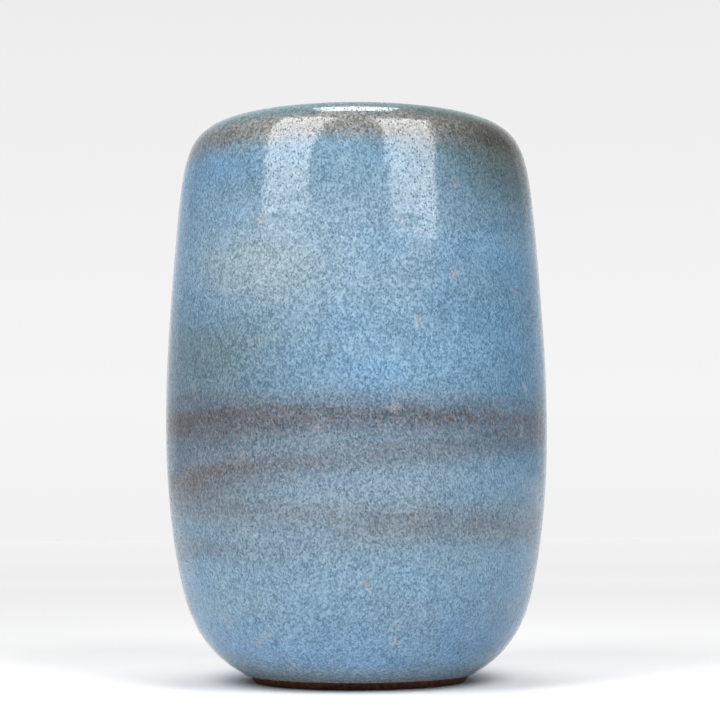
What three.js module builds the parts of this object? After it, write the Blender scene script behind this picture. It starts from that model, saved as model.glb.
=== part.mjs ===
// A wheel-thrown stoneware vase: one fired clay body under three fused coats of glaze.
// Millimetres, +Z up. The origin is the centre of the foot ring's resting face.
import * as THREE from 'three';

// ---- Driving dimensions ----

const LIP_TOP = 220;            // overall height
const BELLY_RADIUS = 74;        // widest radius, on the glaze
const BELLY_HEIGHT = 98;
const MOUTH_RADIUS = 26;        // clear radius between the glazed sides of the throat
const THROAT_TOP = 217.4;       // height where the lip's crown has turned straight down
const COAT = 0.8;               // thickness of each glaze coat
const SEAM = 0.05;              // hairline left between a coat and the clay, and between two coats
const WALL = 5;                 // thickness of the clay wall
const FLOOR = 6.6;              // height of the clay floor inside
const FLOOR_RADIUS = 33;        // flat part of that floor

const FOOT_RADIUS = 40.9;       // outer edge of the resting ring
const FOOT_RING_WIDTH = 7.4;
const FOOT_EDGE = 0.4;          // worn bevel on the ring's outer edge
const RECESS_DEPTH = 2;         // shallow turned recess inside the ring
const RECESS_SLOPE = 2.2;       // how far the recess wall leans inwards

const SEGMENTS = 40;            // facets around every turned piece
const STEPS = 3;                // facets along each stretch between two stations
const SAME_POINT = 1e-6;
const STRAIGHT = 1e-6;
const DEG = Math.PI / 180;

// ---- Stations ----
// Each station is a point on the glazed surface: r from the axis, z above the table, and lean, the
// direction of travel in degrees (0 outwards, 90 straight up, 180 inwards, 270 straight down).

const HEEL = { r: 58.6, z: 15.2, lean: 53 };
const BAND_EDGE = { r: 66.75, z: 201, lean: 104.5 };
const LIP_FOOT = { r: 33, z: 217.9, lean: 176 };

const HEEL_TO_BAND = [
  HEEL,
  { r: 67.7, z: 36.3, lean: 77.4 },                      // top of the heel
  { r: BELLY_RADIUS, z: BELLY_HEIGHT, lean: 90 },        // belly
  { r: 69.1, z: 185.5, lean: 95.8 },                     // upper wall
  BAND_EDGE,                                             // where the shoulder coat takes over
];

const SHOULDER = [
  BAND_EDGE,
  { r: 61.4, z: 211.8, lean: 136 },                      // middle of the shoulder turn
  { r: 52.5, z: 216, lean: 173 },                        // shoulder top
  LIP_FOOT,
];

const GLAZED_WALL = [
  { r: 43.2, z: 2.8, lean: 25 },                         // glaze line above the bare foot
  ...HEEL_TO_BAND,
];

const GLAZED_TOP = [
  ...SHOULDER,
  { r: 30.7, z: 219, lean: 132 },                        // rise of the lip
  { r: 28.5, z: LIP_TOP, lean: 180 },                    // crown of the lip
  { r: MOUTH_RADIUS, z: THROAT_TOP, lean: 270 },         // top of the throat
];

// ---- Outlines ----

// A curve between two stations, with the handles of a circular arc that turns by the same angle.
function stretch(from, to) {
  const turn = Math.abs(to.lean - from.lean) * DEG;
  const chord = Math.hypot(to.r - from.r, to.z - from.z);
  const bend = turn < STRAIGHT ? 1 : (2 * Math.tan(turn / 4)) / Math.sin(turn / 2);
  const handle = (chord / 3) * bend;
  const along = (station, reach) =>
    new THREE.Vector2(
      station.r + reach * Math.cos(station.lean * DEG),
      station.z + reach * Math.sin(station.lean * DEG),
    );
  return new THREE.CubicBezierCurve(along(from, 0), along(from, handle), along(to, -handle), along(to, 0));
}

// Points along a chain of stations, moved square to the surface by a depth into the wall.
function skin(stations, depth) {
  const points = [];
  for (let i = 0; i + 1 < stations.length; i += 1) {
    const curve = stretch(stations[i], stations[i + 1]);
    for (let k = i === 0 ? 0 : 1; k <= STEPS; k += 1) {
      const point = curve.getPoint(k / STEPS);
      const travel = curve.getTangent(k / STEPS);
      points.push(new THREE.Vector2(point.x - depth * travel.y, point.y + depth * travel.x));
    }
  }
  return points;
}

// The face inside the vase at a depth under its outer skin, from the middle of the floor up to the throat.
function insideFace(depth, floor, throat) {
  const wall = skin([...HEEL_TO_BAND, ...SHOULDER.slice(1)], depth);
  const heel = wall[0];
  const roof = wall[wall.length - 1];
  const floorEdge = { r: FLOOR_RADIUS, z: floor, lean: 0 };
  const wallStart = { r: heel.x, z: heel.y, lean: HEEL.lean };
  const roofEnd = { r: roof.x, z: roof.y, lean: LIP_FOOT.lean };
  const throatTop = { r: throat, z: THROAT_TOP - SEAM, lean: 90 };
  return [
    new THREE.Vector2(0, floor),
    ...skin([floorEdge, wallStart], 0),
    ...wall.slice(1),
    ...skin([roofEnd, throatTop], 0).slice(1),
  ];
}

// ---- Turned solids ----

// Turns a closed outline about the axis. The outline runs with its solid on the left.
function turned(name, outline, material) {
  const distinct = outline.filter((p, i) => i === 0 || p.distanceTo(outline[i - 1]) > SAME_POINT);
  const geometry = new THREE.LatheGeometry(distinct, SEGMENTS);
  geometry.rotateX(Math.PI / 2);
  const mesh = new THREE.Mesh(geometry, material);
  mesh.name = name;
  return mesh;
}

// A coat between its glazed face and the face that lies against the clay.
function coat(name, stations, material) {
  const glazed = skin(stations, 0);
  const back = skin(stations, COAT - SEAM);
  return turned(name, [...glazed, ...back.reverse(), glazed[0]], material);
}

// The clay: turned foot ring with a shallow recess, wall, shoulder, lip, throat and floor, all one piece.
function stonewareBody() {
  const ringInside = FOOT_RADIUS - FOOT_RING_WIDTH;
  const foot = [
    new THREE.Vector2(0, RECESS_DEPTH),
    new THREE.Vector2(ringInside - RECESS_SLOPE, RECESS_DEPTH),
    new THREE.Vector2(ringInside, 0),
    new THREE.Vector2(FOOT_RADIUS - FOOT_EDGE, 0),
    new THREE.Vector2(FOOT_RADIUS, FOOT_EDGE),
  ];
  const outside = skin([...GLAZED_WALL, ...GLAZED_TOP.slice(1)], COAT);
  const hollow = insideFace(COAT + WALL, FLOOR, MOUTH_RADIUS + COAT);
  const fired = new THREE.MeshStandardMaterial({ color: 0x3a2318, roughness: 0.85, metalness: 0 });
  return turned('stoneware_body', [...foot, ...outside, ...hollow.reverse()], fired);
}

// The blue coat on the outside, from the glaze line above the bare foot up to the shoulder band.
function bodyGlaze() {
  const blue = new THREE.MeshStandardMaterial({ color: 0x7f9cb8, roughness: 0.3, metalness: 0 });
  return coat('body_glaze', GLAZED_WALL, blue);
}

// The brown-grey coat over the shoulder and the lip, ending at the top of the throat.
function shoulderGlaze() {
  const brownGrey = new THREE.MeshStandardMaterial({ color: 0x8b8a83, roughness: 0.3, metalness: 0 });
  const bandStart = { ...BAND_EDGE, z: BAND_EDGE.z + SEAM };
  return coat('shoulder_glaze', [bandStart, ...GLAZED_TOP.slice(1)], brownGrey);
}

// The coat on the inside, which makes the vase hold water.
function linerGlaze() {
  const liner = new THREE.MeshStandardMaterial({ color: 0x8f9aa0, roughness: 0.35, metalness: 0 });
  const back = insideFace(COAT + WALL + SEAM, FLOOR + SEAM, MOUTH_RADIUS + COAT - SEAM);
  const glazed = insideFace(COAT + WALL + COAT, FLOOR + COAT, MOUTH_RADIUS);
  return turned('liner_glaze', [...back, ...glazed.reverse()], liner);
}

// ---- The vase ----

const vase = new THREE.Group();
vase.add(stonewareBody(), bodyGlaze(), shoulderGlaze(), linerGlaze());

export default vase;
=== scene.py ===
"""A wheel-thrown stoneware vase: dark fired clay, a mottled blue glaze, a brown-grey shoulder and a liner.

Lengths are millimetres of the design until they are placed, when MM turns them into metres. Angles round
the vase start at its front, which faces -Y, and grow towards +X.
"""
import math
from bisect import bisect_right

import bpy
from mathutils import Matrix, Quaternion, Vector, noise


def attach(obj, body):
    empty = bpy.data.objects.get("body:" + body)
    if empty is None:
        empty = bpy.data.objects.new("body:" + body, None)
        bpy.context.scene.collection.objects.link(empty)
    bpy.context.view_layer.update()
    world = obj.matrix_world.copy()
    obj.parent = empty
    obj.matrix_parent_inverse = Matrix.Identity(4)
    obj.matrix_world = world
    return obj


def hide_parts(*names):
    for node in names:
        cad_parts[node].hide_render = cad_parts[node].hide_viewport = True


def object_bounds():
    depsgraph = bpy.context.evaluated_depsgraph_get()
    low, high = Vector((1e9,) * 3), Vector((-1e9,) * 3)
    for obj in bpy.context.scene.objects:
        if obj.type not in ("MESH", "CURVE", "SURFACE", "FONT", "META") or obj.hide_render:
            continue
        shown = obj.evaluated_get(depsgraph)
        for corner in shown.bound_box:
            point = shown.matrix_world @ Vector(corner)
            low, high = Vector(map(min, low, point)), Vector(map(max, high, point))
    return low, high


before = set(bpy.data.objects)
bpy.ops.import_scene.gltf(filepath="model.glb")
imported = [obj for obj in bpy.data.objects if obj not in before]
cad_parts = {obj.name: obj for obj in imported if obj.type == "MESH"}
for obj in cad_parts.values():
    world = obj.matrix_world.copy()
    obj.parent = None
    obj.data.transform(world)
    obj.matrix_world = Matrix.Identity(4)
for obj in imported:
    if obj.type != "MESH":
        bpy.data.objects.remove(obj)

CAD_LOW, CAD_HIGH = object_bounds()

# ---- Driving dimensions ----

LIP_TOP = 220.0                 # overall height of the design
MM = CAD_HIGH.z / LIP_TOP       # one of its millimetres in metres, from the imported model's height
MOUTH_RADIUS = 26.0
THROAT_TOP = 217.4              # where the lip's crown has turned straight down
COAT = 0.8                      # thickness of each glaze coat
SEAM = 0.05                     # hairline between a coat's back and the clay
WALL = 5.0                      # thickness of the clay wall
FLOOR = 6.6                     # height of the clay floor inside
FLOOR_RADIUS = 33.0
FOOT_RADIUS = 40.9              # outer edge of the resting ring
FOOT_RING_WIDTH = 7.4
FOOT_EDGE = 0.9                 # how far the ring's worn edges are rounded
RECESS_DEPTH = 2.0              # turned recess inside the ring
RECESS_SLOPE = 2.2

# Stations on the glazed surface: radius, height and lean, the direction of travel in degrees.
GLAZE_LINE = (43.2, 2.8, 25)
HEEL = (58.6, 15.2, 53)
BELLY = (74.0, 98.0, 90)
BAND_EDGE = (66.75, 201.0, 104.5)
LIP_FOOT = (33.0, 217.9, 176)
HEEL_TO_BAND = [HEEL, (67.7, 36.3, 77.4), BELLY, (69.1, 185.5, 95.8), BAND_EDGE]
SHOULDER = [BAND_EDGE, (61.4, 211.8, 136), (52.5, 216.0, 173), LIP_FOOT]
LIP = [LIP_FOOT, (30.7, 219.0, 132), (28.5, LIP_TOP, 180), (MOUTH_RADIUS, THROAT_TOP, 270)]

SEGMENTS = 256                  # steps round every turned piece
FINE = 60                       # steps along each stretch when it is measured
WALL_ROWS = 210                 # rows along the glazed wall outside, the shoulder and the inside
SHOULDER_ROWS = 120
INSIDE_ROWS = 150
CLAY_WALL_ROWS = 110            # rows along the clay under the wall's glaze
SHOULDER_BACK_ROWS = 50         # rows along the shoulder coat's back, and the clay under it
HIDDEN_ROWS = 60                # rows along the other faces that are hidden
FLAT_ROWS = 24                  # rows across the flat floor inside
STRAIGHT = 1e-6                 # a turn smaller than this, in radians, is none
SHARP = 50                      # an edge that turns by more degrees than this is shaded as an edge


# ---- Outlines ----

def course(stations):
    """Closely spaced (way, r, z, out, up) through the stations: way is the distance gone so far, and
    (out, up) the direction of travel."""
    spots = []
    way = 0.0
    for start, end in zip(stations, stations[1:]):
        turn = math.radians(abs(end[2] - start[2]))
        bend = 2 * math.tan(turn / 4) / math.sin(turn / 2) if turn > STRAIGHT else 1.0
        reach = math.hypot(end[0] - start[0], end[1] - start[1]) / 3 * bend
        first, last = Vector(start[:2]), Vector(end[:2])
        leave = Vector((math.cos(math.radians(start[2])), math.sin(math.radians(start[2])))) * reach
        arrive = Vector((math.cos(math.radians(end[2])), math.sin(math.radians(end[2])))) * reach
        near, far = first + leave, last - arrive
        for step in range(1 if spots else 0, FINE + 1):
            t = step / FINE
            s = 1 - t
            point = first * s ** 3 + near * 3 * s * s * t + far * 3 * s * t * t + last * t ** 3
            travel = (near - first) * s * s + (far - near) * 2 * s * t + (last - far) * t * t
            travel.normalize()
            if spots:
                way += math.hypot(point.x - spots[-1][1], point.y - spots[-1][2])
            spots.append((way, point.x, point.y, travel.x, travel.y))
    return spots


def crowded_ends(length, rows):
    """Distances from 0 to length, closest together at both ends, so that edges and seams stay smooth."""
    return [length * (1 - math.cos(math.pi * i / rows)) / 2 for i in range(rows + 1)]


def follow(stations, rows, depth=lambda way: 0.0):
    """(r, z, out, up, way) along the stations in so many rows, moved square to the surface by a depth
    into the wall."""
    spots = course(stations)
    ways = [spot[0] for spot in spots]
    found = []
    for way in crowded_ends(ways[-1], rows):
        i = min(bisect_right(ways, way), len(ways) - 1)
        before, after = spots[i - 1], spots[i]
        share = (way - before[0]) / (after[0] - before[0])
        r, z, out, up = (a + (b - a) * share for a, b in zip(before[1:], after[1:]))
        into = depth(way)
        found.append((r - into * up, z + into * out, out, up, way))
    return found


def inside_face(depth, floor, throat, rows):
    """The face inside the vase at a depth under its skin, from the middle of the floor to the throat."""
    wall = follow(HEEL_TO_BAND + SHOULDER[1:], rows, lambda way: depth)
    heel, roof = wall[0], wall[-1]
    rise = follow([(FLOOR_RADIUS, floor, 0), (heel[0], heel[1], HEEL[2])], rows // 5)
    neck = follow([(roof[0], roof[1], LIP_FOOT[2]), (throat, THROAT_TOP, 90)], rows // 3)
    flat = [(FLOOR_RADIUS * i / FLAT_ROWS, floor) for i in range(FLAT_ROWS)]
    return flat + [(p[0], p[1]) for p in rise[:-1] + wall[:-1] + neck]


def arc(centre, radius, start, end, steps=6):
    """Points of an arc about a centre, between two angles in degrees."""
    angles = [math.radians(start + (end - start) * i / steps) for i in range(steps + 1)]
    return [(centre[0] + radius * math.cos(a), centre[1] + radius * math.sin(a)) for a in angles]


# ---- The potter's hand ----

OVAL = 0.22                     # how far the vase is out of round, and the angle that sets its long side
OVAL_TURN = 2.6
UNEVEN = 0.28                   # slow unevenness of the wall, and its size across
UNEVEN_SPAN = 45
STIFF_RADIUS = 30               # nearer the axis than this, the vase is truer
RIPPLE = 0.01                   # throwing ripples outside, and their pitch
RIPPLE_PITCH = 8.5
FOOT_DRIFT = 0.65               # how far aside the foot lies, dying away up to about DRIFT_HEIGHT
DRIFT_HEIGHT = 38
BODY_DRIFT = -0.1               # how far aside the rest lies
DIP = -0.3                      # how far the top dips on its +X side, at DIP_RADIUS
DIP_RADIUS = 60
RIDGE = 0.32                    # finger ridges on the inside wall, and their pitch
RIDGE_PITCH = 9.5
RIDGES_FROM = 14                # they grow over RIDGES_GROW above this height, and fade up to RIDGES_TO
RIDGES_GROW = 12
RIDGES_TO = 206
SWIRL = 0.28                    # the spiral on the floor inside, and its pitch
SWIRL_PITCH = 8
SWIRL_EYE = 6                   # radius over which it grows out of the middle
RIDGES_FADE = 8                 # length over which the ridges and the spiral die away


def within(value):
    """The value, kept between 0 and 1."""
    return min(1.0, max(0.0, value))


def thrown(r, z, angle):
    """A point of the true outline as the potter's hand left it, in metres. Every piece goes through
    here, so coats and clay stay nested."""
    share = within(r / STIFF_RADIUS)
    around = Vector((math.sin(angle), -math.cos(angle), 0))
    place = around * r / UNEVEN_SPAN + Vector((0, 0, z / UNEVEN_SPAN))
    bulge = OVAL * math.cos(2 * angle - OVAL_TURN) + UNEVEN * noise.noise(place)
    ripple = RIPPLE * math.sin(2 * math.pi * z / RIPPLE_PITCH + angle)
    drift = FOOT_DRIFT * math.exp(-((z / DRIFT_HEIGHT) ** 2)) + BODY_DRIFT
    dip = DIP * (z / LIP_TOP) ** 2 * math.sin(angle) * r / DIP_RADIUS
    point = around * (r + share * (bulge + ripple)) + Vector((drift, 0, z + dip))
    return point * MM


def rings_inside(r, z, angle):
    """The ridges that the fingers left inside: a shallow spiral up the wall and out from the middle."""
    up_wall = within((z - RIDGES_FROM) / RIDGES_GROW) * within((RIDGES_TO - z) / RIDGES_FADE)
    ridge = RIDGE * up_wall * math.sin(2 * math.pi * z / RIDGE_PITCH + angle)
    on_floor = within(r / SWIRL_EYE) * within((FLOOR_RADIUS - r) / RIDGES_FADE)
    if z >= FLOOR + 2 * COAT:
        on_floor = 0.0
    return ridge, SWIRL * on_floor * math.sin(2 * math.pi * r / SWIRL_PITCH + angle)


def turned(name, outline, ridged=lambda r, z: False):
    """A closed mesh turned about the axis. The outline is (r, z) or (r, z, wander), with its solid on the
    left, where wander(angle) moves the point by (r, z). It starts and ends on the axis or closes."""
    closed = outline[0][0] > 0
    verts, rings = [], []
    for row in outline:
        r, z = row[:2]
        wander = row[2] if len(row) > 2 else None
        if r == 0:
            rings.append([len(verts)] * SEGMENTS)
            verts.append(thrown(0, z, 0))
            continue
        rings.append(list(range(len(verts), len(verts) + SEGMENTS)))
        for i in range(SEGMENTS):
            angle = 2 * math.pi * i / SEGMENTS
            move = wander(angle) if wander else (rings_inside(r, z, angle) if ridged(r, z) else (0, 0))
            verts.append(thrown(r + move[0], z + move[1], angle))
    faces = []
    for low, high in zip(rings, rings[1:] + (rings[:1] if closed else [])):
        for i in range(SEGMENTS):
            j = (i + 1) % SEGMENTS
            corners = [low[i], low[j], high[j], high[i]]
            faces.append(list(dict.fromkeys(corners)))    # a triangle where two meet on the axis
    mesh = bpy.data.meshes.new(name)
    mesh.from_pydata(verts, [], faces)
    mesh.validate()
    mesh.shade_smooth()
    mesh.set_sharp_from_angle(angle=math.radians(SHARP))
    piece = bpy.data.objects.new(name, mesh)
    bpy.context.scene.collection.objects.link(piece)
    return piece


# ---- Pieces ----

WANDER_LONG = 0.45              # how far the glaze line wanders in long waves and in short ones
WANDER_SHORT = 0.16
LONG_WAVES = 2.2                # how close together those waves are
SHORT_WAVES = 9
WANDER_MEAN = -0.1
WANDER_REACH = 5                # how far up the coat the glaze moves with its edge
EDGE_ROLL = 0.7                 # width of the coat's rounded lower edge
BEAD = 0.22                     # the bead of pooled glaze above it: height, middle and width
BEAD_MIDDLE = 1.3
BEAD_WIDTH = 1.0


def glaze_run(angle):
    """How far up the surface the glaze line lies from its station."""
    around = Vector((math.sin(angle), math.cos(angle), 0))
    long_part = WANDER_LONG * noise.noise(around * LONG_WAVES)
    return long_part + WANDER_SHORT * noise.noise(around * SHORT_WAVES) + WANDER_MEAN


def edge_wander(out, up, way):
    """A row's own share of the glaze run, which dies away above the edge."""
    share = math.exp(-((way / WANDER_REACH) ** 2))
    return lambda angle: (out * share * glaze_run(angle), up * share * glaze_run(angle))


def rolled(way):
    """Depth of the glazed face above the glaze line: a round edge, then a low bead where it pooled."""
    bead = BEAD * math.exp(-(((way - BEAD_MIDDLE) / BEAD_WIDTH) ** 2))
    if way >= EDGE_ROLL:
        return -bead
    full = COAT - SEAM
    return full - (full + bead) * math.sqrt(1 - (1 - way / EDGE_ROLL) ** 2)


def body_coat():
    """The blue coat, from its rolled edge above the bare foot up to the shoulder."""
    stations = [GLAZE_LINE] + HEEL_TO_BAND
    glazed = [(r, z, edge_wander(out, up, way)) for r, z, out, up, way in follow(stations, WALL_ROWS, rolled)]
    back = follow(stations, HIDDEN_ROWS, lambda way: COAT - SEAM)
    hidden = [(r, z, edge_wander(out, up, way)) for r, z, out, up, way in back]
    return turned("blue_glaze_coat", glazed + hidden[:0:-1])


def shoulder_coat():
    """The brown-grey coat over the shoulder and the lip."""
    stations = SHOULDER + LIP[1:]
    glazed = [p[:2] for p in follow(stations, SHOULDER_ROWS)]
    back = [p[:2] for p in follow(stations, SHOULDER_BACK_ROWS, lambda way: COAT - SEAM)]
    return turned("shoulder_glaze_coat", glazed + back[::-1])


def liner_coat():
    """The coat on the inside, over the marks of the potter's fingers."""
    back = inside_face(COAT + WALL + SEAM, FLOOR + SEAM, MOUTH_RADIUS + COAT - SEAM, HIDDEN_ROWS)
    glazed = inside_face(COAT + WALL + COAT, FLOOR + COAT, MOUTH_RADIUS, INSIDE_ROWS)
    return turned("liner_glaze_coat", back + glazed[::-1], lambda r, z: True)


TOOL_ROWS = 64                  # rows across the turned recess
TOOL_MARK = 0.09                # the tool's grooves in it, and their pitch
TOOL_PITCH = 4.1
TOOL_GROW = 5                   # radius over which they grow out of the middle
DIMPLE = 0.35                   # the hollow that the tool left in the middle, and its radius
DIMPLE_RADIUS = 3
RING_EDGE = 0.3                 # how far the ring's inner edge is rounded, and where that edge begins
RING_EDGE_TOP = 0.25


def foot_outline():
    """The bare underside: a turned recess with its tool marks, and the ring that the vase stands on."""
    ring_inside = FOOT_RADIUS - FOOT_RING_WIDTH
    recess_edge = ring_inside - RECESS_SLOPE
    marks = []
    for i in range(TOOL_ROWS):
        r = recess_edge * i / TOOL_ROWS
        groove = TOOL_MARK * math.cos(2 * math.pi * r / TOOL_PITCH) * within(r / TOOL_GROW)
        marks.append((r, RECESS_DEPTH + groove + DIMPLE * math.exp(-((r / DIMPLE_RADIUS) ** 2))))
    slope = [(recess_edge + RECESS_SLOPE * 0.5, RECESS_DEPTH * 0.55), (ring_inside, RING_EDGE_TOP)]
    inner_edge = arc((ring_inside + 2 * RING_EDGE, RING_EDGE), RING_EDGE, 215, 270)
    outer_edge = arc((FOOT_RADIUS - FOOT_EDGE, FOOT_EDGE), FOOT_EDGE, 270, 335, 8)
    return marks + slope + inner_edge + outer_edge


STRIP_ROWS = 14                 # rows up the bare strip between the foot and the glaze
STRIP_GROOVE = 0.035            # the grooves that turning left in it, and their pitch in rows
STRIP_PITCH = 4.7
STRIP_SWELL = 0.12              # how far it swells between its ends


def clay_body():
    """The fired clay: bare foot, then the wall, shoulder, lip and floor under their coats."""
    edge = follow([GLAZE_LINE] + HEEL_TO_BAND, CLAY_WALL_ROWS, lambda way: COAT)
    top = follow(SHOULDER + LIP[1:], SHOULDER_BACK_ROWS, lambda way: COAT)
    foot = foot_outline()
    start, end = Vector(foot[-1]), Vector(edge[0][:2])
    strip = []
    for i in range(1, STRIP_ROWS):
        share = i / STRIP_ROWS
        groove = STRIP_GROOVE * math.sin(2 * math.pi * i / STRIP_PITCH)
        point = start.lerp(end, share)
        strip.append((point.x + groove + STRIP_SWELL * math.sin(math.pi * share), point.y))
    outside = [p[:2] for p in edge[:-1] + top]
    hollow = inside_face(COAT + WALL, FLOOR, MOUTH_RADIUS + COAT, HIDDEN_ROWS)
    inner = {(round(r, 4), round(z, 4)) for r, z in hollow}
    return turned(
        "fired_clay_body",
        foot + strip + outside + hollow[-2::-1],
        lambda r, z: (round(r, 4), round(z, 4)) in inner,
    )


# ---- Materials ----

BEIGE_CAST = (1.04, 1.00, 0.96, 1.0)    # what the glaze's thin and thick pools multiply its colour by
BLUE_CAST = (0.96, 1.00, 1.03, 1.0)
MEAN_SHADE = 0.94                       # what the crystals multiply the glaze's colour by on average
BLUE_SWING = (1.18, 0.98, 0.88)         # how strongly they vary its red, green and blue
BROWN_SWING = (1.05, 1.02, 1.00)
LEAST_SHADE = 0.1
BLUE_CONTRAST = 0.66                    # how strongly shade varies from crystal to crystal in each glaze
BROWN_CONTRAST = 0.90
LINER_CONTRAST = 0.6
CRYSTAL = 0.56                          # size of a crystal, and of the clumps and the mottle beyond it
CLUMP = 1.9
MOTTLE = 9
CLUMP_CONTRAST = 0.4
MOTTLE_CONTRAST = 0.35
SPECK = 0.84                            # size of the cells that may hold a dark speck
SPECK_CAST = (0.28, 0.38, 0.44)         # what a dark speck multiplies the colour by, and its greatest share
SPECK_SHARE = 0.74
SPECK_RIM, SPECK_CORE = 0.52, 0.30      # how far from its middle a speck ends, and is whole
SPECK_RARE, SPECK_SURE = 0.56, 0.60     # a cell's chance where its speck begins to show, and is there
SPECK_LEAST = 0.45                      # share of the faintest speck
GLAZE_INDEX = 1.55                      # index of refraction
GLOSS = 0.08                            # roughness of clear glaze, and what a matt crystal adds
MATT_ROUGHER = 0.5
CRYSTAL_MATT = 0.25                     # how matt the crystals are that take up most oxide
SOAKED_FROM, SOAKED_TO = 0.70, 0.85     # uptake over which a crystal turns that matt
CLEAR_SHINE = 0.5                       # specular level of clear glaze, and what a matt crystal takes off
MATT_DULLER = 0.3
LINER_GLOSS = 0.14
LINER_ROUGHER = 0.3
PEEL = 0.09                             # depth of the glaze's slow waves, and their size across
PEEL_SPAN = 4.4
STRAY = 5                               # how far the streaks and patches stray, and over what span
STRAY_SPAN = 80
POOL_SPAN = 30                          # size of the glaze's thin and thick pools
POOL_THIN, POOL_THICK = 0.36, 0.64      # where between 0 and 1 its noise counts as thin, and as thick
BRUSH_SPAN = 52                         # length of the brush's lines in the oxide
BRUSHED_LEAST = 0.55                    # oxide where the brush left least, and what its lines add
BRUSHED_MORE = 0.9
TAKEN_LEAST = 0.68                      # share that every crystal takes up, and what its uptake adds
TAKEN_MORE = 0.64
FLECK_SPACING = 12                      # size of the cells that may hold a fleck
FLECK_CORE = 0.05                       # how far from its middle a fleck is whole
PALE_FLECK = 0.34                       # how strong a pale fleck and a dark one are
DARK_FLECK = 0.6
PALE_RIM, DARK_RIM = 0.26, 0.09         # how far from its middle each ends
PALE_CHANCE = (0.55, 0.57)              # a cell's chance where each begins to show, and is there
DARK_CHANCE = (0.20, 0.18)
BAND_FROM, BAND_TO = 196.0, 205.0       # heights over which the blue turns into the shoulder's brown-grey
TOP_FROM, TOP_TO = 208.6, 212.8         # heights over which that turns into the teal top
OLIVE_FROM, OLIVE_TO = 160.0, 204.0     # heights over which the olive side grows, and its full share
OLIVE_SHARE = 0.92
RAGGED = 5                              # how far those edges stray in patches, and the size of a patch
RAGGED_SPAN = 7
DITHER = 2.0                            # how far they stray from crystal to crystal
PALER_FROM, PALER_TO = 195, 214         # heights over which the liner turns paler
CLAY_GRAIN = 1.8


def tint(red, green, blue):
    """A colour as it reads on screen, 0 to 255, turned into the renderer's linear light."""
    parts = [v / 255 for v in (red, green, blue)]
    return tuple(v / 12.92 if v <= 0.04045 else ((v + 0.055) / 1.055) ** 2.4 for v in parts) + (1.0,)


def grey(light):
    return (light, light, light, 1.0)


class Recipe:
    """A node tree, with short calls for the sums that a pattern is made of."""

    def __init__(self, tree):
        self.tree = tree

    def node(self, kind, settings=(), **inputs):
        made = self.tree.nodes.new(kind)
        for key, value in dict(settings).items():
            setattr(made, key, value)
        for key, value in inputs.items():
            self.feed(made.inputs[key.replace("_", " ")], value)
        return made

    def feed(self, socket, value):
        if isinstance(value, bpy.types.NodeSocket):
            self.tree.links.new(value, socket)
        else:
            socket.default_value = value

    def sum(self, operation, *values, clamp=False):
        made = self.node("ShaderNodeMath", {"operation": operation, "use_clamp": clamp})
        for socket, value in zip(made.inputs, values):
            self.feed(socket, value)
        return made.outputs[0]

    def plus(self, a, b):
        return self.sum("ADD", a, b)

    def times(self, a, b):
        return self.sum("MULTIPLY", a, b)

    def step(self, value, low, high):
        """0 below low, 1 above high, and smooth between them."""
        made = self.node("ShaderNodeMapRange", {"interpolation_type": "SMOOTHSTEP"})
        for socket, number in zip(made.inputs, (value, low, high, 0.0, 1.0)):
            self.feed(socket, number)
        return made.outputs[0]

    def blend(self, share, a, b, kind="MIX"):
        made = self.node("ShaderNodeMix", {"data_type": "RGBA", "blend_type": kind})
        for socket, value in zip((made.inputs[0], made.inputs[6], made.inputs[7]), (share, a, b)):
            self.feed(socket, value)
        return made.outputs[2]

    def hump(self, value, width):
        """1 where the value is 0, falling away over a width on both sides."""
        return self.sum("EXPONENT", self.times(self.sum("POWER", self.times(value, 1 / width), 2.0), -1.0))

    def toward(self, degrees, sharpness):
        """1 on the side of the vase that an angle names, falling away round it."""
        turned_by = self.sum("COSINE", self.sum("SUBTRACT", self.angle, math.radians(degrees)))
        return self.sum("EXPONENT", self.times(self.plus(turned_by, -1.0), sharpness))

    def ramp(self, value, stops):
        made = self.node("ShaderNodeValToRGB", Fac=value)
        marks = made.color_ramp.elements
        while len(marks) < len(stops):
            marks.new(0.5)
        for mark, (position, colour) in zip(marks, stops):
            mark.position = position
            mark.color = colour
        return made.outputs["Color"]


class Surface(Recipe):
    """A material's nodes, with the height in millimetres and the angle round the vase to hand."""

    def __init__(self, name):
        self.material = bpy.data.materials.new(name)
        self.material.use_nodes = True
        super().__init__(self.material.node_tree)
        self.shader = self.tree.nodes["Principled BSDF"]
        self.place = self.node("ShaderNodeTexCoord").outputs["Object"]
        x, y, z = self.node("ShaderNodeSeparateXYZ", Vector=self.place).outputs
        self.height = self.sum("MULTIPLY", z, 1 / MM)
        self.angle = self.sum("ARCTAN2", x, self.sum("MULTIPLY", y, -1.0))

    def pattern(self, kind, grain, flat, seed, **inputs):
        """A texture whose grain is in millimetres, and flat times as high as it is wide."""
        where = self.node("ShaderNodeMapping", Vector=self.place)
        where.inputs["Location"].default_value = (seed, seed * 0.37, seed * 0.73)
        where.inputs["Scale"].default_value = (1, 1, 1 / flat)
        return self.node(kind, Vector=where.outputs[0], Scale=1 / (grain * MM), **inputs)

    def cloud(self, grain, flat=1.0, detail=2.0, seed=0.0):
        """Soft noise about 0.5."""
        made = self.pattern("ShaderNodeTexNoise", grain, flat, seed, Detail=detail, Roughness=0.5)
        return made.outputs["Fac"]

    def crystals(self, grain, flat, seed):
        """Packed grains: distance from each one's middle, and three random numbers that belong to it."""
        cells = self.pattern("ShaderNodeTexVoronoi", grain, flat, seed)
        chance = self.node("ShaderNodeSeparateColor", Color=cells.outputs["Color"])
        return cells.outputs["Distance"], *chance.outputs


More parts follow.
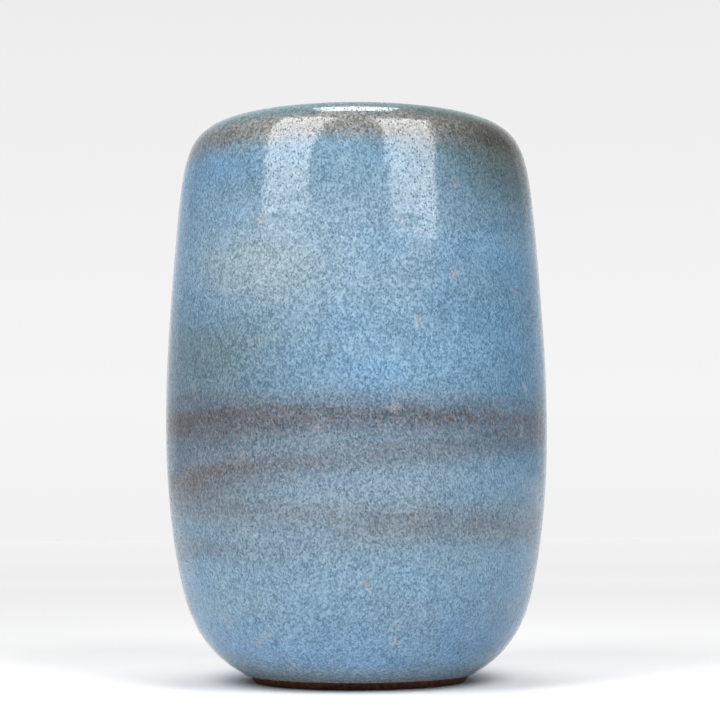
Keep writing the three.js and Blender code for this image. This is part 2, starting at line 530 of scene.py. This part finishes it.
def streak(recipe, height, middle, swing, peak, width, strength):
    """A brushed oxide streak round the vase, highest at the peak angle by its swing."""
    rise = recipe.times(recipe.sum("COSINE", recipe.sum("SUBTRACT", recipe.angle, math.radians(peak))), swing)
    off = recipe.sum("SUBTRACT", recipe.sum("SUBTRACT", height, middle), rise)
    return recipe.times(recipe.hump(off, width), strength)


def patch(recipe, height, middle, width, side, sharpness, strength):
    """A soft patch at a height and on one side."""
    off = recipe.sum("SUBTRACT", height, middle)
    return recipe.times(recipe.times(recipe.hump(off, width), recipe.toward(side, sharpness)), strength)


def oxide(recipe, height, uptake):
    """How much brown oxide was brushed on, 0 to 1. Uptake is 0 to 1 from crystal to crystal. A streak's
    numbers are its middle height, swing, peak angle, width and strength, and a patch's are its middle
    height, width, side, sharpness and strength."""
    marks = [
        streak(recipe, height, 98.7, 0.8, 60, 5.8, 0.33),
        streak(recipe, height, 97.5, 0.8, -60, 10.5, 0.42),
        patch(recipe, height, 96, 8, -62, 6, 0.20),
        patch(recipe, height, 87, 6, -48, 14, 0.36),
        patch(recipe, height, 88, 8, 68, 9, -0.25),
        streak(recipe, height, 83.5, 7.5, 90, 5.0, 0.36),
        streak(recipe, height, 63.5, 5.0, -90, 6.2, 0.38),
        patch(recipe, height, 107, 3.2, -52, 9, 0.24),
        patch(recipe, height, 80, 5.0, -42, 6, 0.32),
        patch(recipe, height, 74, 5.5, -66, 12, 0.36),
        patch(recipe, height, 52, 3.8, -60, 5, 0.42),
        patch(recipe, height, 57, 7, 22, 4, 0.16),
    ]
    total = marks[0]
    for mark in marks[1:]:
        total = recipe.plus(total, mark)
    lines = recipe.cloud(BRUSH_SPAN, flat=0.1, detail=4, seed=7.7)
    brushed = recipe.plus(BRUSHED_LEAST, recipe.times(lines, BRUSHED_MORE))
    taken = recipe.plus(TAKEN_LEAST, recipe.times(uptake, TAKEN_MORE))
    return recipe.sum("MULTIPLY", total, recipe.times(brushed, taken), clamp=True)


def multiplied(recipe, share, colour, by):
    """The colour, with that share of it multiplied by another."""
    return recipe.blend(share, colour, recipe.blend(1.0, colour, by + (1,), "MULTIPLY"))


def glaze_pattern(recipe, warmth, uptake):
    """Colour of the glazed outside: blue with brown-grey streaks, and the darker shoulder. Warmth and
    uptake are 0 to 1 from crystal to crystal."""
    stray = recipe.times(recipe.plus(recipe.cloud(STRAY_SPAN, flat=0.3, detail=3, seed=3.1), -0.5), STRAY)
    height = recipe.plus(recipe.height, stray)
    colour = recipe.ramp(recipe.times(recipe.height, 1 / LIP_TOP), [
        (0.016, tint(146, 161, 173)),
        (0.045, tint(129, 161, 184)),
        (0.100, tint(124, 157, 182)),
        (0.200, tint(121, 153, 175)),
        (0.340, tint(125, 151, 170)),
        (0.520, tint(120, 151, 175)),
        (0.730, tint(127, 156, 179)),
        (0.820, tint(120, 149, 171)),
        (0.900, tint(114, 142, 162)),
    ])
    pool = recipe.step(recipe.cloud(POOL_SPAN, flat=0.6, detail=3, seed=29.0), POOL_THIN, POOL_THICK)
    colour = recipe.blend(1.0, colour, recipe.blend(pool, BEIGE_CAST, BLUE_CAST), "MULTIPLY")
    # Darker and bluer towards the right side: partly the glaze's own bluer side, partly painted shade where
    # that side turns from the lights.
    colour = multiplied(recipe, recipe.toward(58, sharpness=5.5), colour, (0.62, 0.74, 0.80))
    # Darker and bluer at the far left edge: partly the glaze's own bluer side, partly painted shade where
    # that edge turns from the lights.
    colour = multiplied(recipe, recipe.toward(-74, sharpness=8), colour, (0.78, 0.90, 1.00))
    # Patches where the glaze is lighter, darker or of another hue: height, width, side, sharpness and what it
    # multiplies by.
    for middle, width, side, sharpness, cast in [
        (70, 24, -58, 6, (0.94, 0.90, 0.83)),       # warm, low on the left
        (76, 7, -66, 12, (0.68, 0.83, 0.94)),       # dark at the left edge, under the streaks
        (112, 18, 20, 9, (1.06, 1.12, 1.15)),       # clear, right of the middle
        (192, 11, 19, 9, (1.14, 1.23, 1.30)),       # clearer under the shoulder, and brighter still as a painted highlight of the right softbox
        (150, 20, -52, 9, (0.88, 0.88, 0.87)),      # dim on the upper left
        (154, 13, 42, 5, (0.92, 0.94, 0.95)),       # dim on the upper right
        (12, 8, -18, 2.5, (0.93, 1.02, 1.11)),      # bluer above the foot
        (193, 9, -60, 9, (0.95, 1.03, 1.11)),       # bluer, top left
        (20, 16, 58, 4, (0.85, 0.93, 1.01)),        # darker and bluer, low on the right
        (5, 6, -52, 4, (0.80, 0.79, 0.73)),         # dark at the glaze line's left
    ]:
        share = patch(recipe, height, middle, width, side, sharpness, 1.0)
        colour = multiplied(recipe, share, colour, cast)
    # Where it turned pale, dull and cool: height, width, side, sharpness, strength and its own colour.
    for middle, width, side, sharpness, strength, own in [
        (155, 15, -28, 9, 0.75, tint(147, 164, 170)),
        (121, 18, -53, 6, 0.75, tint(100, 117, 119)),
        (187, 8, -27, 9, 0.4, tint(98, 130, 148)),
    ]:
        share = patch(recipe, height, middle, width, side, sharpness, strength)
        colour = recipe.blend(share, colour, own)
    brown = recipe.blend(warmth, tint(80, 88, 102), tint(111, 96, 87))
    colour = recipe.blend(oxide(recipe, height, uptake), colour, brown)
    return shoulder_pattern(recipe, flecked(recipe, colour), warmth)


def flecked(recipe, colour):
    """A few pale flecks where the glaze crawled, and a few dark ones where iron melted through."""
    distance, chance, _, _ = recipe.crystals(FLECK_SPACING, flat=1.1, seed=41.0)
    pale = recipe.times(recipe.step(distance, PALE_RIM, FLECK_CORE), recipe.step(chance, *PALE_CHANCE))
    dark = recipe.times(recipe.step(distance, DARK_RIM, FLECK_CORE), recipe.step(chance, *DARK_CHANCE))
    colour = recipe.blend(recipe.times(pale, PALE_FLECK), colour, tint(168, 168, 166))
    return recipe.blend(recipe.times(dark, DARK_FLECK), colour, tint(70, 84, 84))


def shoulder_pattern(recipe, colour, warmth):
    """Lays the shoulder's brown-grey band, its olive side and the teal top over the blue."""
    ragged = recipe.times(recipe.plus(recipe.cloud(RAGGED_SPAN, detail=4, seed=5.0), -0.5), RAGGED)
    dither = recipe.times(recipe.plus(warmth, -0.5), DITHER)
    height = recipe.plus(recipe.height, recipe.plus(ragged, dither))
    right = recipe.toward(62, sharpness=4.5)
    olive = recipe.times(recipe.step(height, OLIVE_FROM, OLIVE_TO), recipe.toward(54, sharpness=3.2))
    colour = recipe.blend(recipe.times(olive, OLIVE_SHARE), colour, tint(84, 92, 85))
    left_brown = recipe.blend(warmth, tint(112, 117, 119), tint(133, 129, 123))
    right_brown = recipe.blend(warmth, tint(58, 62, 61), tint(74, 70, 60))
    brown = recipe.blend(right, left_brown, right_brown)
    # Painted shade: the brown-grey band darkens and cools towards its far left edge, where it turns from the
    # lights.
    brown = multiplied(recipe, recipe.toward(-80, sharpness=7), brown, (0.50, 0.68, 0.78))
    colour = recipe.blend(recipe.step(height, BAND_FROM, BAND_TO), colour, brown)
    top = recipe.blend(recipe.toward(45, sharpness=1.6), tint(89, 117, 126), tint(62, 84, 82))
    colour = recipe.blend(recipe.step(height, TOP_FROM, TOP_TO), colour, top)
    # Painted shade on the shoulder's right edge, where it turns from the lights.
    return multiplied(recipe, patch(recipe, height, 196, 16, 78, 9, 1.0), colour, (0.62, 0.66, 0.66))


def grains(recipe, contrast):
    """The crystals in the glaze: shade, warmth, uptake of oxide, and how far each is a dark, matt speck."""
    _, light, warmth, uptake = recipe.crystals(CRYSTAL, flat=1.4, seed=11.0)
    clumps = recipe.plus(recipe.cloud(CLUMP, flat=1.3, detail=2, seed=13.0), -0.5)
    mottle = recipe.plus(recipe.cloud(MOTTLE, flat=1.3, detail=3, seed=15.0), -0.5)
    shade = recipe.plus(MEAN_SHADE, recipe.times(recipe.plus(light, -0.5), contrast))
    slow = recipe.plus(recipe.times(clumps, CLUMP_CONTRAST), recipe.times(mottle, MOTTLE_CONTRAST))
    shade = recipe.plus(shade, slow)
    distance, chance, _, depth = recipe.crystals(SPECK, flat=1.3, seed=17.0)
    shown = recipe.step(chance, SPECK_RARE, SPECK_SURE)
    specks = recipe.times(recipe.step(distance, SPECK_RIM, SPECK_CORE), shown)
    specks = recipe.times(specks, recipe.plus(SPECK_LEAST, recipe.times(depth, 1 - SPECK_LEAST)))
    return shade, warmth, uptake, specks


def shaded(recipe, colour, shade, swing):
    """The colour multiplied by the crystals' shade, which swings by its own share in red, green and blue."""
    parts = []
    for share in swing:
        part = recipe.plus(MEAN_SHADE, recipe.times(recipe.plus(shade, -MEAN_SHADE), share))
        parts.append(recipe.sum("MAXIMUM", part, LEAST_SHADE))
    light = recipe.node("ShaderNodeCombineColor", Red=parts[0], Green=parts[1], Blue=parts[2]).outputs[0]
    return recipe.blend(1.0, colour, light, "MULTIPLY")


def outside_glaze(name, contrast, swing):
    """The glaze outside. Contrast is how strongly its crystals vary, and swing how much of that each of
    red, green and blue takes."""
    recipe = Surface(name)
    shade, warmth, uptake, specks = grains(recipe, contrast)
    colour = shaded(recipe, glaze_pattern(recipe, warmth, uptake), shade, swing)
    colour = multiplied(recipe, recipe.times(specks, SPECK_SHARE), colour, SPECK_CAST)
    recipe.feed(recipe.shader.inputs["Base Color"], colour)
    soaked = recipe.step(uptake, SOAKED_FROM, SOAKED_TO)
    matt = recipe.sum("MAXIMUM", specks, recipe.times(soaked, CRYSTAL_MATT))
    recipe.feed(recipe.shader.inputs["Roughness"], recipe.plus(GLOSS, recipe.times(matt, MATT_ROUGHER)))
    recipe.shader.inputs["IOR"].default_value = GLAZE_INDEX
    shine = recipe.sum("SUBTRACT", CLEAR_SHINE, recipe.times(matt, MATT_DULLER))
    recipe.feed(recipe.shader.inputs["Specular IOR Level"], shine)
    waves = recipe.cloud(PEEL_SPAN, detail=3, seed=19.0)
    peel = recipe.node("ShaderNodeBump", Height=waves, Distance=PEEL * MM, Strength=1.0)
    recipe.feed(recipe.shader.inputs["Normal"], peel.outputs["Normal"])
    return recipe.material


def liner_glaze():
    """The plain grey glaze inside, paler up in the throat."""
    recipe = Surface("liner_glaze")
    up_throat = recipe.step(recipe.height, PALER_FROM, PALER_TO)
    colour = recipe.blend(up_throat, tint(96, 110, 116), tint(122, 138, 142))
    shade, _, _, specks = grains(recipe, LINER_CONTRAST)
    recipe.feed(recipe.shader.inputs["Base Color"], shaded(recipe, colour, shade, BLUE_SWING))
    rough = recipe.plus(LINER_GLOSS, recipe.times(specks, LINER_ROUGHER))
    recipe.feed(recipe.shader.inputs["Roughness"], rough)
    return recipe.material


def bare_clay():
    """The dark red-brown clay, as it shows at the foot."""
    recipe = Surface("fired_clay")
    grain = recipe.cloud(CLAY_GRAIN, detail=3)
    colour = recipe.ramp(grain, [(0.3, tint(56, 29, 17)), (0.7, tint(116, 66, 40))])
    recipe.feed(recipe.shader.inputs["Base Color"], colour)
    recipe.shader.inputs["Roughness"].default_value = 0.8
    return recipe.material


# ---- Studio ----

LENS = 94.5                     # focal length, over a sensor 36 wide
SENSOR = 36.0
CAMERA_BACK = 739.9             # from the vase's axis, and its height above the table
CAMERA_UP = 65.0
CAMERA_ASIDE = 1.37
PITCH = 4.61
ROLL = 0.3
AIM = 200.0                     # height on the vase that every light faces
SOFT = 0.1                      # share of a softbox's side over which its cloth dims to its edge
FOOT_LIGHT = 0.7                # a softbox's light at its foot, and what its top adds
TOP_LIGHT = 0.7
PAPER_REACH = 4.0               # radius of the sheet of paper, in metres, and its number of sides
PAPER_SIDES = 96


def camera():
    """The camera, a little below the vase's middle and tilted up."""
    data = bpy.data.cameras.new("camera")
    data.sensor_width = SENSOR
    data.lens = LENS
    made = bpy.data.objects.new("camera", data)
    bpy.context.scene.collection.objects.link(made)
    stand = Matrix.Translation(Vector((CAMERA_ASIDE, -CAMERA_BACK, CAMERA_UP)) * MM)
    tilt = Matrix.Rotation(math.radians(90 + PITCH), 4, "X") @ Matrix.Rotation(math.radians(-ROLL), 4, "Z")
    made.matrix_world = stand @ tilt
    bpy.context.scene.camera = made


def panel(name, azimuth, elevation, roll, distance, width, length, radiance, fade):
    """A rectangular softbox in metres that faces the vase's shoulder, rolled about the way it faces. Its
    cloth dims towards its edges, over the share called fade at its foot, and is brighter towards its top."""
    data = bpy.data.lights.new(name, "AREA")
    data.shape = "RECTANGLE"
    data.size, data.size_y = width, length
    data.energy = radiance * math.pi * width * length
    made = bpy.data.objects.new(name, data)
    bpy.context.scene.collection.objects.link(made)
    a, e = math.radians(azimuth), math.radians(elevation)
    away = Vector((math.sin(a) * math.cos(e), -math.cos(a) * math.cos(e), math.sin(e)))
    made.location = away * distance + Vector((0, 0, AIM * MM))
    made.rotation_mode = "QUATERNION"
    made.rotation_quaternion = away.to_track_quat("Z", "Y") @ Quaternion((0, 0, 1), math.radians(roll))
    made.visible_camera = False
    data.use_nodes = True
    recipe = Recipe(data.node_tree)
    spot = recipe.node("ShaderNodeNewGeometry").outputs["Parametric"]
    across, along, _ = recipe.node("ShaderNodeSeparateXYZ", Vector=spot).outputs
    glow = recipe.plus(FOOT_LIGHT, recipe.times(along, TOP_LIGHT))
    for value, near, far in ((across, SOFT, SOFT), (along, fade, SOFT)):
        glow = recipe.times(glow, recipe.step(value, 0.0, near))
        glow = recipe.times(glow, recipe.step(value, 1.0, 1.0 - far))
    recipe.feed(data.node_tree.nodes["Emission"].inputs["Strength"], glow)


def pale_room():
    """A world that the camera sees as a pale backdrop. What lights the vase is the same backdrop behind it,
    with a dimmer room at its sides and behind the camera."""
    world = bpy.data.worlds.new("studio")
    world.use_nodes = True
    recipe = Recipe(world.node_tree)
    direction = recipe.node("ShaderNodeTexCoord").outputs["Generated"]
    east, north, up = recipe.node("ShaderNodeSeparateXYZ", Vector=direction).outputs
    seen = recipe.ramp(up, [
        (0.0, tint(242, 242, 243)),
        (0.06, tint(245, 245, 246)),
        (0.27, tint(238, 237, 238)),
        (1.0, tint(232, 232, 233)),
    ])
    # How far round from the backdrop's middle, as a share of a half turn.
    off_backdrop = recipe.sum("ARCTAN2", recipe.sum("ABSOLUTE", east), north)
    lit = recipe.ramp(recipe.times(off_backdrop, 1 / math.pi), [
        (0.110, tint(241, 241, 242)),
        (0.170, tint(200, 200, 202)),
        (0.215, tint(198, 198, 200)),
        (0.255, tint(140, 140, 142)),
        (0.550, tint(98, 98, 100)),
        (1.000, tint(98, 98, 100)),
    ])
    camera_ray = recipe.node("ShaderNodeLightPath").outputs["Is Camera Ray"]
    background = world.node_tree.nodes["Background"]
    recipe.feed(background.inputs["Color"], recipe.blend(camera_ray, lit, seen))
    bpy.context.scene.world = world


def pale_floor():
    """A round sheet of pale paper. It glows more and more further out, where the studio's wide lights
    would reach it, so that it meets the backdrop without a dark line."""
    mesh = bpy.data.meshes.new("floor")
    turns = [math.tau * i / PAPER_SIDES for i in range(PAPER_SIDES)]
    edge = [(PAPER_REACH * math.cos(turn), PAPER_REACH * math.sin(turn), 0) for turn in turns]
    mesh.from_pydata(edge, [], [tuple(range(PAPER_SIDES))])
    floor = bpy.data.objects.new("floor", mesh)
    bpy.context.scene.collection.objects.link(floor)
    recipe = Surface("floor_paper")
    recipe.shader.inputs["Base Color"].default_value = tint(235, 235, 235)
    recipe.shader.inputs["Roughness"].default_value = 0.7
    recipe.shader.inputs["Specular IOR Level"].default_value = 0.0
    # Painted light that the paper adds, against the distance from the vase as a share of the sheet's radius:
    # none at the foot's edge, a faint ring just beside it, then more further out.
    away = recipe.node("ShaderNodeVectorMath", {"operation": "LENGTH"}, Vector=recipe.place)
    glow = recipe.ramp(recipe.times(away.outputs["Value"], 1 / PAPER_REACH), [
        (0.0105, grey(0.00)),
        (0.0145, grey(0.06)),
        (0.024, grey(0.035)),
        (0.055, grey(0.06)),
        (0.105, grey(0.17)),
        (0.170, grey(0.34)),
        (0.270, grey(0.51)),
        (0.470, grey(0.61)),
        (1.000, grey(0.65)),
    ])
    recipe.feed(recipe.shader.inputs["Emission Color"], glow)
    recipe.shader.inputs["Emission Strength"].default_value = 1.0
    mesh.materials.append(recipe.material)


def studio():
    """A pale room, a pale floor, a softbox on each side in front and one overhead."""
    pale_room()
    pale_floor()
    panel(
        "left_softbox", azimuth=-45.0, elevation=39.0, roll=3.6, distance=0.6,
        width=0.36, length=0.60, radiance=6.7, fade=0.12,
    )
    panel(
        "right_softbox", azimuth=37.5, elevation=37.2, roll=-7.4, distance=0.6,
        width=0.345, length=0.538, radiance=7.3, fade=0.06,
    )
    panel(
        "overhead_softbox", azimuth=178, elevation=83, roll=0, distance=0.7,
        width=0.33, length=0.3, radiance=9.0, fade=SOFT,
    )
    bpy.context.scene.view_settings.view_transform = "Standard"


# ---- The vase in the studio ----

def finish(piece, node, material):
    """Gives a piece its material, hangs it under the root body and hides the CAD node that it stands for."""
    piece.data.materials.append(material)
    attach(piece, "root")
    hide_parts(node)


camera()
studio()
finish(clay_body(), "stoneware_body", bare_clay())
finish(body_coat(), "body_glaze", outside_glaze("blue_glaze", BLUE_CONTRAST, BLUE_SWING))
brown_grey = outside_glaze("brown_grey_glaze", BROWN_CONTRAST, BROWN_SWING)
finish(shoulder_coat(), "shoulder_glaze", brown_grey)
finish(liner_coat(), "liner_glaze", liner_glaze())
